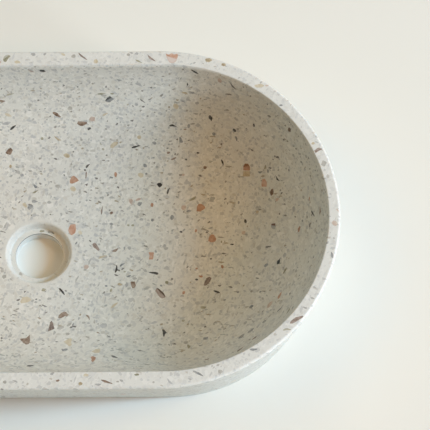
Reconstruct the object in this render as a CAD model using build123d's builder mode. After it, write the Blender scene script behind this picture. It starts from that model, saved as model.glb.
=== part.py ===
"""Terrazzo countertop basin: a casting with stone chips bedded in it, and a ring in its drain hole."""

from build123d import *
import os
from math import atan2, cos, degrees, hypot, pi, radians, sin, sqrt
from random import Random

# Outer form, in millimetres. The origin is on the drain axis, on the surface that the basin stands on.
# X runs along the basin, Y towards its back and Z upwards.
rim_length = 550.0
rim_width = 320.0
basin_height = 120.0
base_length = 519.0
base_width = 269.0
rim_outer_round = 2.5
base_edge_round = 1.5

# Bowl. The wall is one arc in section, from the flat floor up to the rim.
rim_band_side = 15.5
rim_band_end = 11.0
bowl_depth = 100.0
floor_width = 53.0
rim_inner_round = 1.2

# Drain: a recess with a steep side, a flat ledge, and a hole with a ring cast into it from below.
recess_radius = 30.0
recess_lip_round = 2.6
ledge_radius = 27.5
ledge_drop = 8.0
ledge_corner_round = 1.2
hole_radius = 22.5
sleeve_wall = 2.0
sleeve_height = 10.0
sleeve_top_gap = 0.5
sleeve_chamfer = 0.5

# Chips. Each is ground level with the surface around it and reaches this far into the casting.
chip_bed = 3.5
ledge_chip_bed = 0.9
chip_edge_stand = 0.01
cutter_rise = 5.0

# The chip places below were read off a bowl of this size. They move with the bowl when it changes.
read_bowl_reach = 264.0
read_bowl_half_width = 144.5

# The far half of the bowl and the outer wall hold strewn chips. These are the tries: a chip that would come
# too near another is left out.
strewn_in_bowl = 190
strewn_on_wall = 230
strewn_on_rim_end = 26
strewn_on_rim_side = 6
strewn_gap = 2.0
strewn_edge_margin = 7.0
strewn_bowl_limit = -42.0
strewn_rim_longest = 7.0
strewn_rim_widest = 4.5
wall_foot_margin = 10.0
wall_top_margin = 14.0

# Worked out from the sizes above.
bowl_reach = rim_length / 2 - rim_band_end
bowl_half_width = rim_width / 2 - rim_band_side
bowl_straight = bowl_reach - bowl_half_width
floor_half_width = floor_width / 2
floor_z = basin_height - bowl_depth
wall_run = bowl_half_width - floor_half_width
rim_slope = 2 * atan2(bowl_depth, wall_run)
wall_radius = wall_run / sin(rim_slope)
rim_straight = (rim_length - rim_width) / 2
base_straight = (base_length - base_width) / 2
ledge_z = floor_z - ledge_drop
recess_mouth_radius = 2 * recess_radius - ledge_radius
sleeve_radius = hole_radius + sleeve_wall
sleeve_seat_z = sleeve_height + sleeve_top_gap
stretch_x = bowl_reach / read_bowl_reach
stretch_y = bowl_half_width / read_bowl_half_width
read_bowl_straight = read_bowl_reach - read_bowl_half_width

# Chips of the bowl by kind: place (x, y), length, width, and turn in degrees as seen from above.
bowl_chips = {
    "terracotta": [
        (71.5, 75, 5.5, 3, 95), (172, -16.5, 4.5, 2.5, -60), (152, -25, 5, 2.5, -15),
        (147.5, 21, 4, 2.5, 80), (106, 47, 4.5, 3, 85), (136, -41, 4, 3, 70), (250.5, 25, 5, 2.5, 80),
        (222.5, -59, 8, 3.4, 55), (241.5, 3.2, 6.5, 4.5, 60), (148, -17, 3, 2, 20),
    ],
    "pink": [
        (50.8, 118, 7, 5.5, 20), (93, 52.3, 6, 2.4, 20), (136, 44, 5.5, 5, 30), (213.5, -66, 8, 5.5, 45),
        (192, 15, 4.5, 4, 0), (45, -14.5, 5, 4.5, 40), (170.5, 133, 6.5, 4.5, 100), (223, 38.3, 6, 3.6, 35),
        (136, 74, 3, 2.5, 0),
    ],
    "cream": [
        (31, 62.5, 6.5, 5, -30), (38.5, 20, 5.5, 4, -60), (94.5, 105, 4.5, 4, 0), (95.5, 74.5, 6, 5, -30),
        (-28, 121, 7.5, 3.5, -25), (72, -53.5, 9, 2.5, 45), (129.5, 125.5, 7, 5.5, -60),
        (-14.5, 47.5, 5.5, 4, -60), (58.5, -105.3, 9, 7.5, 0),
    ],
    "ochre": [
        (70.5, 99.5, 9.5, 4.5, 35), (76.5, -32, 5, 3.5, 0), (60, -4.5, 8.5, 2, 20), (63, 121, 6, 2, 30),
        (17, 104.5, 8, 2, -35), (138, 132.5, 6, 2.2, -15), (205, 32, 4, 3.5, -30),
        (25.5, 91.2, 7.2, 4.2, -18), (-28, 82.5, 4, 3, 80),
    ],
    "brown": [
        (-33, 129.5, 7, 3, -15), (71.5, 2, 7.5, 2.7, 20), (17.5, 121, 9, 3.5, -35), (126.5, 88, 6, 1.8, 25),
        (122, 93, 3.5, 2.5, 10), (48.5, -66, 7, 1.8, -60), (233, 84.5, 6, 4, 60), (218.5, 46, 7, 4.5, 75),
        (156.5, 79, 4, 3.5, 20), (185.5, -116, 9, 3.5, 50), (198.5, -104, 6, 3.5, 20),
        (157, -121, 5, 4, 30), (258.5, 8, 8, 3, 85), (67.5, 39.5, 4.2, 2.7, 25), (138, 110, 3, 1.5, 0),
        (92, 95.5, 3, 1.5, 0), (260, 23, 3, 1.5, 90), (160.5, -111, 3.5, 1.5, 0),
        (58.5, -83.5, 3.5, 1.5, -35),
    ],
    "mauve": [
        (43.5, 74.5, 7.5, 1.5, 85), (58.5, 42, 9, 1.6, 82), (-2.5, 143, 7, 2, -35),
    ],
    "black": [
        (223, -22, 6.5, 5, 60), (-24.5, 112.5, 7.5, 2.2, 38), (23, -38.7, 9.5, 2, -52),
        (73, -17, 8, 2.2, 78), (91, 97.8, 9, 2, 15), (126.5, 113, 7.5, 2.2, -5), (121.5, 60, 7, 1.8, 68),
        (133.5, 20, 3.2, 2.2, -15), (150, 91.5, 3.5, 1.8, 0), (173, 81.3, 6, 1.8, -68),
        (184.5, 103, 4.5, 3, -40), (202, 101.5, 5, 2.5, 100), (147.5, 140.5, 9, 2.2, -35),
        (182.5, 127.5, 9, 2, -45), (8, 143, 6, 3.5, -15), (181.5, 5, 4.2, 2, -5), (194, 25.5, 4.5, 3, 100),
        (148, -28, 3.2, 2.2, -10), (253, 10.5, 9, 2.2, -50), (250.5, 1.5, 5, 2.5, 80),
        (166.5, -42, 7.5, 2, -30), (223.5, 55.5, 6, 2, -50), (2.5, -125, 7, 5.5, 10), (75, -113, 8, 3, -40),
        (45, 82.5, 5.5, 1.8, 45), (47.5, 111.5, 4.5, 2.8, 30), (138.5, 87, 2.7, 2, 0),
        (42.5, 79, 2, 1.8, 0), (39, 136.5, 2, 1.5, 0), (140.7, 136.5, 4, 1.5, 90), (98.5, 129, 7, 1.2, -45),
        (228.5, 81.5, 2.5, 1.5, 0), (219.5, 72, 2, 1.7, 0), (66, 42.2, 2, 1.5, 0),
        (48, 11.5, 3, 1.5, -40), (-0.3, -46.6, 2, 1.5, 0), (-37, -4.5, 5, 1.4, 0), (227, 42, 3.5, 1.3, 40),
        (233.5, 58, 3, 1.5, 100), (128, -97, 2.5, 1.5, 0), (231, -61, 2.5, 1.5, 0), (10, 38.5, 1.8, 1.5, 0),
    ],
    "slate": [
        (106.5, 32, 3.2, 2.7, 80), (141.5, 112, 5, 3, 80), (186, 97, 5, 2, -75), (141, 40.5, 5, 2.2, 10),
        (99.5, 82.5, 4.2, 3.7, -30), (108.7, 100.5, 4.8, 3.2, -20), (30, -103.5, 6, 4.5, 30),
        (162, 23, 4, 2.2, 20), (212, -22, 5, 3.5, 20), (196, -92, 8, 4, 25), (187.5, -97, 8, 5, 35),
        (197.5, -63.5, 5, 4, 25), (156, -93, 7, 5, -10), (84.5, -24, 4.5, 2, 20), (78.5, -12.5, 6, 1.8, 38),
        (67.5, 72.5, 4.2, 2.2, -15), (67.5, 28.5, 4.2, 3, 0), (208, -85, 4.5, 4, 0),
        (221.5, -76, 7, 2.5, 10), (165, 104, 4, 3.5, 30), (145.5, 132, 5, 2.5, -5),
        (215, 64.5, 4.5, 2.5, -70), (208, 66, 5.5, 2.3, 5), (-36, 111, 4, 3, 0), (77.5, 139.5, 6, 1.5, -25),
        (136.5, 128, 4.5, 1.5, -30), (107.7, 89, 2.5, 1.5, 0), (35, 9.5, 3.5, 1.5, 50),
        (100.7, 75.5, 3, 2.5, 0), (158.5, 20, 3, 2, 0), (80.5, 4, 4, 1.3, 80), (110, 0, 2.5, 2, 0),
        (115, -33.5, 2.5, 2, 0), (188, 44, 3, 2, 90), (244.5, 9.5, 3, 2.5, 0), (242, 25, 3, 1.4, 0),
        (239, 60.8, 2, 1.6, 0), (-28, -92, 3, 2, 0), (64, -33.5, 3, 2.5, 0), (43, -47, 2, 1.7, 0),
        (165, -52.5, 2.5, 2, 0), (134, -57, 2, 1.7, 0), (151.5, -101, 4.5, 2, 0), (173.5, -51.5, 3, 2, 0),
        (206, -49, 3, 2, 0), (214, -73, 2.5, 2, 0), (186, -45, 2.5, 2, 0), (84.5, -62.5, 2, 1.5, 0),
    ],
    "blue_grey": [
        (-30.5, 115.5, 9, 3.6, 10), (-17.5, 75, 5, 3.5, 15), (85, 4, 4.5, 4.2, 30), (83, -32.5, 6, 3.2, 85),
        (150, 112, 6, 4.5, 20), (149.5, 126, 4.5, 3.5, 0), (219.5, 15, 6.5, 6.5, 0),
        (228.5, -17, 5.5, 4.5, 60), (237.5, 24, 6, 4.5, 80), (184.5, -35, 5, 4.5, 30), (118, 6, 4, 3, 60),
        (163, 50.5, 7, 6, 20), (63, -75.5, 7.5, 7, 0), (95.5, 137.5, 7, 3, -35), (92.7, 127, 4, 3.5, 0),
        (96, 33, 4, 3, 0), (49, -72.5, 4, 2, -15),
    ],
    "olive": [
        (144.5, 52, 8, 2.5, 30), (-24.5, 133, 8, 2, 15), (60.5, 133, 7.5, 2.2, 3),
        (68.5, -38, 4.5, 2.5, 70), (88, 27, 3.5, 2.7, 10), (2.5, 104.5, 3.5, 3, -40),
        (-5, 60, 6.5, 1.8, 25), (120.3, -30.5, 4, 4, 0), (140.5, -101.5, 7, 3, 95),
        (154, -57.5, 6.5, 3.5, -5), (228, -33.5, 7, 2.5, 45), (228, -83.5, 9, 3.5, 60),
        (212.5, 68.5, 5, 2.2, 70), (6, -37, 5.5, 4, 10), (58, 100, 3, 1.5, -30), (60, 96, 3, 2.5, 0),
        (70.5, 133, 4, 2, 0), (83.8, 27.2, 3, 2.5, 0), (171.5, 8.5, 3, 1.5, 90), (174.5, 8.5, 3, 1.5, 90),
        (81, -19.5, 2.5, 1.5, 0), (135.5, -71, 3, 3, 0), (102, -80, 2, 1.8, 0), (103, -137, 8, 3, 0),
    ],
    "grey": [
        (-33, -17.5, 5, 4, 90), (-31, -23.5, 5, 4, 45), (30.5, 125, 5, 4.5, 0), (-7, 127, 4.5, 4, 0),
        (24, -77.5, 7, 5, 15), (31.5, -74, 6.5, 3, 50), (206, -3, 5.5, 4.5, -70), (37.5, 60, 5.5, 2.7, 90),
        (138, -96, 5, 5, 20), (54.5, -71, 5, 1.7, 95), (152.5, 15, 3.7, 3.2, -20), (16.5, 65, 5, 3.5, 0),
        (11.5, 92, 3.5, 3, 0), (57.5, 58.5, 3, 3, 0), (31, -84.5, 4, 4, 0), (3.5, -72, 4, 3, 90),
        (95.5, -56.5, 3.5, 2.5, 0),
    ],
}

# Large chips of the bowl, each with its own outline: place (x, y), and corners in the plane of its surface.
shaped_bowl_chips = {
    "terracotta": [
        ((32, 70.5), [
            (-4.1, -0.7), (-3.9, -3.2), (-2, -3.6), (0.6, -2.7), (4.9, -0.7), (2.8, 1.7), (0.1, 4.1),
            (-2.5, 3.2),
        ]),
        ((56.5, -115.8), [
            (-2.5, 3.3), (-1.1, -0.8), (-1.5, -3.8), (-0.2, -7), (2, -1.7), (2.3, 3.3), (-0.9, 5.9),
        ]),
        ((152.3, 43.3), [
            (-4.1, -3.5), (-0.2, -3.8), (1.6, -2.5), (4.3, -0.8), (3.9, 1.1), (0.7, 3.6), (-2, 3.7),
            (-3.6, 1.6),
        ]),
        ((163, 12.9), [
            (-4.1, -2.7), (-0.4, -4.3), (2.8, -3.5), (3.8, -1.1), (1.4, 3.4), (-0.9, 3.8), (-3.2, 1.5),
        ]),
        ((195.5, 73), [(-3.5, -3), (3.6, -3), (3.5, 1), (1.6, 3.5), (-1.9, 3.5), (-3.3, 1)]),
    ],
    "coral": [
        ((31, 23), [
            (-4, -0.2), (-3.1, -3.3), (-0.4, -5.9), (2.8, -3.3), (3.6, 0.8), (2.8, 5.7), (-2.1, 5.2),
        ]),
        ((105.5, -3.7), [(-2.4, 3.7), (-1.5, 0.2), (-2.1, -3.9), (1.6, -3.9), (2.3, -0.3), (2.5, 3.2)]),
        ((211.5, 56), [(-2.8, -3.5), (2.8, -3.5), (3, 0.5), (1, 4), (-2, 3.5), (-3, 0.5)]),
    ],
    "pink": [
        ((86.5, 50), [
            (-2.4, 2.4), (-1.7, -1), (0.5, -3), (2.1, -2.9), (2.5, -0.5), (1.1, 1.7), (0.2, 3.3),
        ]),
    ],
    "cream": [
        ((-10, -47), [
            (-4.9, -2), (-3.8, -4), (-2.1, -3.3), (2.6, -2.5), (5.3, -0.4), (3.6, 2.1), (1.2, 3.1),
            (-3.2, 2.5),
        ]),
        ((32.5, -94.5), [
            (-4.5, 1.1), (-1.8, -1.8), (0.9, -5.9), (3.3, -4), (2.4, -0.4), (2.9, 5.4), (0.5, 5.9),
        ]),
    ],
    "ochre": [
        ((195.5, 67.9), [(-3.9, -2.9), (3.7, -2.6), (3.6, 2.2), (-3.4, 2.2)]),
    ],
    "brown": [
        ((41, 115), [(-5, 0), (-2.1, -2.2), (-0.2, -2.6), (4.8, 0), (4.5, 1.8), (-3.5, 2.3)]),
        ((-29, 95), [(-3.6, -1.6), (-2.2, -3), (1.2, -3.5), (3.6, 0.9), (1.7, 3.3), (-0.7, 2.3)]),
        ((25.5, -63.5), [
            (-4.6, -3.3), (-2.8, -3.7), (-0.5, -2.8), (1.8, -1.1), (3.8, -2), (4.5, 0.1), (2.7, 3.1),
            (0.4, 3.8), (-1.9, 2.5), (-3.9, 0.1),
        ]),
        ((-6, -91), [(-5.8, 1.3), (-1.8, -4.8), (0.8, -6.9), (3.1, -6), (3.7, -1), (2.7, 6.8), (0, 2.6)]),
        ((89, -32.5), [(-2.5, 3.3), (-2.1, -0.3), (-0.7, -3.4), (1.2, -3.4), (2.6, -0.8), (1.6, 3.1)]),
    ],
    "mauve": [
        ((53.5, 5.7), [
            (-2.7, 3.3), (-3.1, 1.8), (-2.5, -0.1), (-0.3, -2.1), (2.5, -4.2), (3.8, -3.5), (2.5, -0.6),
            (0.7, 2.3), (-0.8, 4),
        ]),
        ((15.5, -75.5), [(-2.8, -6.9), (0.9, -4.8), (3.1, -3.4), (1.4, 3.5), (-0.4, 6.5), (-1.6, 4.2)]),
        ((114.3, -41.3), [
            (-4.9, 2.3), (-3, -0.2), (-1.2, -3.3), (1.2, -5.3), (3.5, -5), (4.9, -3.8), (3.5, -0.2),
            (0.7, 2.8), (-2.1, 5.2), (-3.5, 5.4),
        ]),
        ((158, -30), [
            (-3.6, -4.6), (-1.3, -4.6), (1, -3), (2.5, -1), (3.9, 2.6), (2, 4.3), (-0.8, 3.1), (-2.7, -1),
        ]),
    ],
    "black": [
        ((113.2, 65.4), [
            (-2.7, 1.1), (-1.5, -1.1), (-0.2, -2.4), (1.5, -1.3), (2.9, 0.1), (1.5, 2), (-0.6, 2.3),
        ]),
        ((118.3, -84.5), [
            (-1.8, 4.6), (-1.2, 0.2), (-0.8, -4.6), (0.3, -4.6), (1, -1), (2.6, 0.7), (-0.1, 4.5),
        ]),
        ((162, 115.2), [(-1.9, 2), (-1.6, -0.8), (-0.5, -1.2), (0.9, -3.4), (2.1, 0.4), (-0.5, 3.4)]),
        ((108, -21.1), [
            (-5.1, 1.1), (-3.2, -0.1), (0.5, -0.9), (3.3, -1.7), (4.4, -0.9), (3.8, 0.6), (0.5, 1.3),
        ]),
    ],
    "slate": [
        ((69, 130), [
            (-5.4, -1.4), (-4.4, -3), (-1.2, -3.4), (1.9, -0.8), (3.5, 0.4), (-0.3, 3), (-3.2, 2),
        ]),
        ((133.8, 102.2), [(-1.4, -2.2), (1.6, -2.3), (2.2, -1.3), (0, 3.1), (-1.5, 3.6)]),
        ((124.8, 34.7), [(-2.1, -0.1), (-1.2, -2.1), (0.2, -2.7), (2.2, -0.6), (1.7, 1.9), (-0.2, 2.6)]),
        ((-4.5, 65.2), [(-2.4, 1.6), (-0.6, -2), (1.7, -2), (2, -0.3), (-1, 1.8)]),
        ((-5, 51.5), [(-3.2, 0.5), (-2.8, -1.4), (0, -1.6), (3, -0.7), (-0.5, 1.3)]),
        ((-9, 45.5), [(-3.2, -0.5), (-1.4, -2.6), (1.6, -0.6), (2.8, 1.2), (0.6, 2.8), (-2, 1.9)]),
        ((94.3, 47.7), [(-2.3, -0.5), (-0.3, -2), (1.5, -0.6), (2.3, 2.1), (-1, 2)]),
    ],
}

# Chips on the ledge round the drain hole: place (x, y), length, width, turn.
drain_chips = {
    "slate": [(10.3, 23.8, 7, 2.8, -22)],
    "olive": [(1.5, 24.9, 5, 3.2, 0)],
    "grey": [(-17, -18, 4.5, 3, -45)],
}

# Chips of the rim's straight sides: side (1 back, -1 front), x, share of the band from its inner edge,
# length, width, turn.
rim_side_chips = {
    "pink": [(1, -30.5, 0.24, 4, 4, 0)],
    "cream": [(1, -14, 0.24, 6.5, 3.5, -15), (1, 27.5, 0.72, 4.5, 2.5, -35), (-1, 55.5, 0.2, 5, 3, 0)],
    "ochre": [(1, 57.5, 0.24, 5, 4.5, 80), (-1, 51, 0.68, 3.7, 3.5, 0)],
    "brown": [(-1, 32, 0.5, 3.7, 2.2, 25), (-1, 72.8, 0.58, 10.5, 2, -20)],
    "mauve": [(1, 45.2, 0.58, 11.5, 1.8, -42), (1, 107.8, 0.45, 10.5, 2.2, -45)],
    "blue_grey": [(1, 0, 0.74, 5, 4, -20), (1, 94.5, 0.75, 3.7, 3, 0), (-1, 65.5, 0.72, 5.5, 2.2, -5)],
    "olive": [(1, 96.5, 0.24, 7.5, 1.8, -30), (-1, 98, 0.2, 4.7, 2.2, 5)],
    "grey": [
        (1, 37, 0.6, 4.5, 4, 30), (1, 87, 0.68, 3.7, 3, 0), (-1, -12, 0.55, 3.2, 3, 0),
        (-1, 112, 0.63, 2.5, 2, 0), (-1, 82, 0.58, 3, 1.5, 0),
    ],
}

# Chips of the rim's right end: bearing from the end's centre in degrees, share of the band, then as above.
rim_end_chips = {
    "pink": [(51.5, 0.8, 4.5, 1.8, 15), (-4.7, 0.5, 6.5, 4.5, -50), (-0.2, 0.78, 5, 1.6, -55)],
    "cream": [(54.2, 0.42, 9, 4, 0), (25.6, 0.32, 3.7, 2.7, 30)],
    "ochre": [(73.6, 0.72, 7, 5, 0), (68.2, 0.7, 4.2, 4, 0)],
    "mauve": [(-40.9, 0.56, 13.5, 3.5, 28), (22.5, 0.36, 8.5, 3, 30)],
    "slate": [
        (-15.7, 0.66, 6, 2.6, 100), (-58.5, 0.24, 7, 2.5, 0), (-78, 0.36, 10.5, 1.8, -28),
        (43.8, 0.24, 4, 2, 0),
    ],
    "blue_grey": [(-86.8, 0.6, 6.5, 1.8, -50)],
    "olive": [(-45.4, 0.56, 7, 1.6, 5)],
    "grey": [
        (17.2, 0.4, 6.5, 6, 60), (-70.7, 0.62, 4.5, 4, 0), (-71.3, 0.2, 3.2, 2.2, 20),
        (12.4, 0.4, 4, 3.4, 80),
    ],
}

# Large chips of the rim's straight sides, each with its own outline: side, x, share of the band, and corners.
shaped_rim_chips = {
    "coral": [
        ((1, 127, 0.44), [
            (-5.7, 4.8), (-4.7, 0.1), (-2.4, -4.6), (0.6, -5.3), (3.6, -3.6), (5.5, 2.2), (4.9, 4.6),
            (2.1, 3.7), (-0.2, 4.9), (-3.4, 3.5),
        ]),
    ],
    "olive": [
        ((1, -24, 0.5), [
            (-2.7, 1.1), (-3.2, -2), (-2.2, -3.7), (-0.2, -3.9), (1, -1.4), (2.4, 0.7), (3.7, 2),
            (1.9, 3.4), (-1.2, 2.6),
        ]),
    ],
}

# How often each kind turns up among the strewn chips, with its shortest and longest length and its slimness.
strewn_kinds = {
    "terracotta": (5, 3.0, 9.5, 0.8),
    "coral": (2, 3.5, 10.0, 0.8),
    "pink": (4, 3.0, 8.0, 0.75),
    "cream": (4, 4.0, 10.0, 0.75),
    "ochre": (4, 3.5, 8.5, 0.5),
    "brown": (8, 3.0, 10.0, 0.6),
    "mauve": (3, 5.0, 12.0, 0.4),
    "black": (15, 2.5, 9.0, 0.4),
    "slate": (20, 2.5, 8.0, 0.65),
    "blue_grey": (7, 3.5, 7.5, 0.75),
    "olive": (9, 3.0, 8.0, 0.5),
    "grey": (7, 3.5, 7.0, 0.75),
}


def bowl_place(x, y):
    """The tangent plane of the bowl's surface over a point of its plan, and the surface's radius there."""
    x = x * stretch_x
    y = y * stretch_y
    beyond_straight = max(abs(x) - bowl_straight, 0.0) * (1 if x > 0 else -1)
    out = hypot(beyond_straight, y)
    if out <= floor_half_width:
        return Plane((x, y, floor_z)), 0.0
    lean = min((out - floor_half_width) / wall_radius, 1.0)
    rise = sqrt(1 - lean**2)
    surface_z = floor_z + wall_radius * (1 - rise)
    normal = (-lean * beyond_straight / out, -lean * y / out, rise)
    return Plane((x, y, surface_z), x_dir=(1, 0, 0), z_dir=normal), wall_radius


def rim_side_place(side, x, across):
    """The rim's top over a point of a straight side."""
    y = side * (bowl_half_width + across * rim_band_side)
    return Plane((x * stretch_x, y, basin_height)), 0.0


def rim_end_place(end, bearing, across):
    """The rim's top at a bearing round the right end (end 1) or the left end (end -1)."""
    centre = bowl_straight + across * (rim_straight - bowl_straight)
    radius = bowl_half_width + across * (rim_width / 2 - bowl_half_width)
    x = centre + radius * cos(radians(bearing))
    return Plane((end * x, radius * sin(radians(bearing)), basin_height)), 0.0


def wall_place(station, height_share):
    """The tangent plane of the outer wall, at a share of the way round it and a share of its height.

    A chip lies level with the wall's middle line under it, because the wall bends away from it."""
    straight = base_straight + height_share * (rim_straight - base_straight)
    radius = (base_width + height_share * (rim_width - base_width)) / 2
    lean_straight = (rim_straight - base_straight) / basin_height
    lean_radius = (rim_width - base_width) / 2 / basin_height
    along = station * (4 * straight + 2 * pi * radius)
    quarter = 2 * straight
    if along < quarter:
        x, bearing, shift = along - straight, -pi / 2, 0.0
    elif along < quarter + pi * radius:
        bearing, x, shift = (along - quarter) / radius - pi / 2, straight, lean_straight
    elif along < 2 * quarter + pi * radius:
        x, bearing, shift = straight - (along - quarter - pi * radius), pi / 2, 0.0
    else:
        bearing, x, shift = (along - 2 * quarter - pi * radius) / radius + pi / 2, -straight, -lean_straight
    point = (x + radius * cos(bearing), radius * sin(bearing), height_share * basin_height)
    normal = (cos(bearing), sin(bearing), -lean_radius - shift * cos(bearing))
    run = (-sin(bearing), cos(bearing), 0)
    return Plane(point, x_dir=run, z_dir=normal), 0.0


def broken_outline(length, width, draw):
    """A broken stone's outline: a bent, pointed sliver if it is slim, and otherwise an uneven polygon."""
    if width < 0.45 * length:
        bow = draw.uniform(-0.3, 0.3) * width
        blunt = draw.uniform(0.15, 0.3) * width
        thick = draw.uniform(-0.2, 0.2) * length
        return [
            (-length / 2, -bow),
            (-length / 3, -bow / 2 - width * draw.uniform(0.3, 0.45)),
            (thick, bow - width / 2),
            (length / 2, -bow - blunt / 2),
            (length / 2, -bow + blunt / 2),
            (thick, bow + width / 2),
            (-length / 3, bow / 2 + width * draw.uniform(0.25, 0.4)),
        ]
    corners = draw.choice([4, 5, 5, 6, 6, 7])
    start = draw.uniform(0, 2 * pi)
    points = []
    for corner in range(corners):
        bearing = start + 2 * pi * (corner + draw.uniform(-0.22, 0.22)) / corners
        reach = draw.uniform(0.88, 1.08)
        points.append((reach * length / 2 * cos(bearing), reach * width / 2 * sin(bearing)))
    return points


def strewn_chip(draw):
    """Kind, length, width and turn of one chip of the mix."""
    kinds = list(strewn_kinds)
    kind = draw.choices(kinds, weights=[strewn_kinds[name][0] for name in kinds])[0]
    shortest, longest, slimness = strewn_kinds[kind][1:]
    length = shortest + (longest - shortest) * draw.random() ** 2.2
    width = max(length * slimness * draw.uniform(0.75, 1.2), 1.5)
    return kind, length, width, draw.uniform(0, 180)


def is_recess_lip(edge):
    """True for each edge where the drain's recess meets the floor of the bowl."""
    middle = edge @ 0.5
    near_radius = abs(hypot(middle.X, middle.Y) - recess_radius) < recess_lip_round / 2
    return near_radius and middle.Z > floor_z - ledge_drop / 2


chips = {}
bedded = []


def bed_chip(region, kind, place, outline, turn=0.0):
    """Note a chip for the node of its region and kind."""
    chips.setdefault(f"{region}_chips_{kind}", []).append((place, outline, turn))
    bedded.append((place[0].origin, max(hypot(*corner) for corner in outline)))


def bed_stone(region, kind, place, length, width, turn):
    """Note a chip that has the outline of a broken stone."""
    number = len(chips.get(f"{region}_chips_{kind}", []))
    draw = Random(f"{region} {kind} {number}")
    bed_chip(region, kind, place, broken_outline(length, width, draw), turn)


def is_clear(place, length):
    """True if a chip of this length would keep its distance from every other."""
    return all((place[0].origin - other).length > length / 2 + reach + strewn_gap for other, reach in bedded)


for kind, found in shaped_bowl_chips.items():
    for (x, y), outline in found:
        bed_chip("bowl", kind, bowl_place(x, y), outline)
for kind, found in bowl_chips.items():
    for x, y, length, width, turn in found:
        bed_stone("bowl", kind, bowl_place(x, y), length, width, turn)
for kind, found in drain_chips.items():
    for x, y, length, width, turn in found:
        bed_stone("drain", kind, (Plane((x, y, ledge_z)), 0.0), length, width, turn)
for kind, found in shaped_rim_chips.items():
    for (side, x, across), outline in found:
        bed_chip("rim", kind, rim_side_place(side, x, across), outline)
for kind, found in rim_side_chips.items():
    for side, x, across, length, width, turn in found:
        bed_stone("rim", kind, rim_side_place(side, x, across), length, width, turn)
for kind, found in rim_end_chips.items():
    for bearing, across, length, width, turn in found:
        bed_stone("rim", kind, rim_end_place(1, bearing, across), length, width, turn)

# Strewn chips of the bowl's far half
draw = Random("bowl")
for attempt in range(strewn_in_bowl):
    x = draw.uniform(-read_bowl_reach, strewn_bowl_limit)
    y = draw.uniform(-read_bowl_half_width, read_bowl_half_width)
    kind, length, width, turn = strewn_chip(draw)
    place = bowl_place(x, y)
    out = hypot(max(abs(x) - read_bowl_straight, 0), y)
    if out < read_bowl_half_width - strewn_edge_margin and is_clear(place, length):
        bed_stone("bowl", kind, place, length, width, turn)


def strew_on_rim(place, draw):
    kind, length, width, turn = strewn_chip(draw)
    bed_stone("rim", kind, place, min(length, strewn_rim_longest), min(width, strewn_rim_widest), turn)


# Strewn chips of the rim's left half, in even steps with some play
draw = Random("rim")
for step in range(strewn_on_rim_end):
    bearing = 180 * (step + draw.uniform(0.25, 0.75)) / strewn_on_rim_end - 90
    strew_on_rim(rim_end_place(-1, bearing, draw.uniform(0.38, 0.6)), draw)
for side in (-1, 1):
    for step in range(strewn_on_rim_side):
        share = (step + draw.uniform(0.25, 0.75)) / strewn_on_rim_side
        x = strewn_bowl_limit - (read_bowl_straight + strewn_bowl_limit) * share
        strew_on_rim(rim_side_place(side, x, draw.uniform(0.3, 0.55)), draw)

# Strewn chips of the outer wall
draw = Random("wall")
for attempt in range(strewn_on_wall):
    height_share = draw.uniform(wall_foot_margin / basin_height, 1 - wall_top_margin / basin_height)
    kind, length, width, turn = strewn_chip(draw)
    place = wall_place(draw.random(), height_share)
    if is_clear(place, length):
        bed_stone("wall", kind, place, length, width, turn)

# Half section of the bowl's hollow, drawn from its middle plane outwards
with BuildSketch() as hollow_half:
    with BuildLine():
        Line((0, floor_z), (floor_half_width, floor_z))
        CenterArc((floor_half_width, floor_z + wall_radius), wall_radius, 270, arc_size=degrees(rim_slope))
        Polyline(
            (bowl_half_width, basin_height),
            (bowl_half_width, basin_height + cutter_rise),
            (0, basin_height + cutter_rise),
            (0, floor_z),
        )
    make_face()

# Hollow of the bowl: a straight trough with a turned half bowl at each end
with BuildPart() as hollow:
    with BuildSketch(Plane.YZ.offset(-bowl_straight)):
        add(hollow_half.sketch)
        mirror(about=Plane.YZ)
    extrude(amount=2 * bowl_straight)
    for end in (-1, 1):
        with BuildSketch(Plane.XZ.shift_origin((end * bowl_straight, 0, 0))):
            add(hollow_half.sketch)
        revolve(axis=Axis((end * bowl_straight, 0, 0), (0, 0, 1)))

# Casting before the chips are let into it
with BuildPart() as casting:
    with BuildSketch():
        SlotOverall(base_length, base_width)
    with BuildSketch(Plane.XY.offset(basin_height)):
        SlotOverall(rim_length, rim_width)
    loft(ruled=True)
    fillet(casting.edges().group_by(Axis.Z)[-1], rim_outer_round)
    fillet(casting.edges().group_by(Axis.Z)[0], base_edge_round)
    add(hollow.part, mode=Mode.SUBTRACT)
    rim_top = casting.faces().filter_by(Axis.Z).sort_by(Axis.Z)[-1]
    fillet(rim_top.inner_wires()[0].edges(), rim_inner_round)
    with BuildSketch(Plane.XZ):
        with BuildLine():
            Polyline(
                (0, ledge_z),
                (ledge_radius, ledge_z),
                (recess_radius, floor_z),
                (recess_mouth_radius, floor_z + ledge_drop),
                (0, floor_z + ledge_drop),
                close=True,
            )
        recess_section = make_face()
        ledge_corner = recess_section.vertices().sort_by_distance((ledge_radius, 0, ledge_z))[0]
        fillet(ledge_corner, ledge_corner_round)
    revolve(axis=Axis.Z, mode=Mode.SUBTRACT)
    fillet([edge for edge in casting.edges() if is_recess_lip(edge)], recess_lip_round)
    with BuildSketch():
        Circle(hole_radius)
    extrude(amount=ledge_z, mode=Mode.SUBTRACT)
    with BuildSketch():
        Circle(sleeve_radius)
    extrude(amount=sleeve_seat_z, mode=Mode.SUBTRACT)

# Ring that lines the drain hole, face to face with the casting all round
with BuildPart() as drain_sleeve:
    with BuildSketch():
        Circle(sleeve_radius)
        Circle(hole_radius, mode=Mode.SUBTRACT)
    extrude(amount=sleeve_height)
    inner_top_edge = drain_sleeve.edges().group_by(Axis.Z)[-1].sort_by(SortBy.RADIUS)[0]
    chamfer(inner_top_edge, sleeve_chamfer)
drain_sleeve.part.label = "drain_sleeve"

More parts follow.
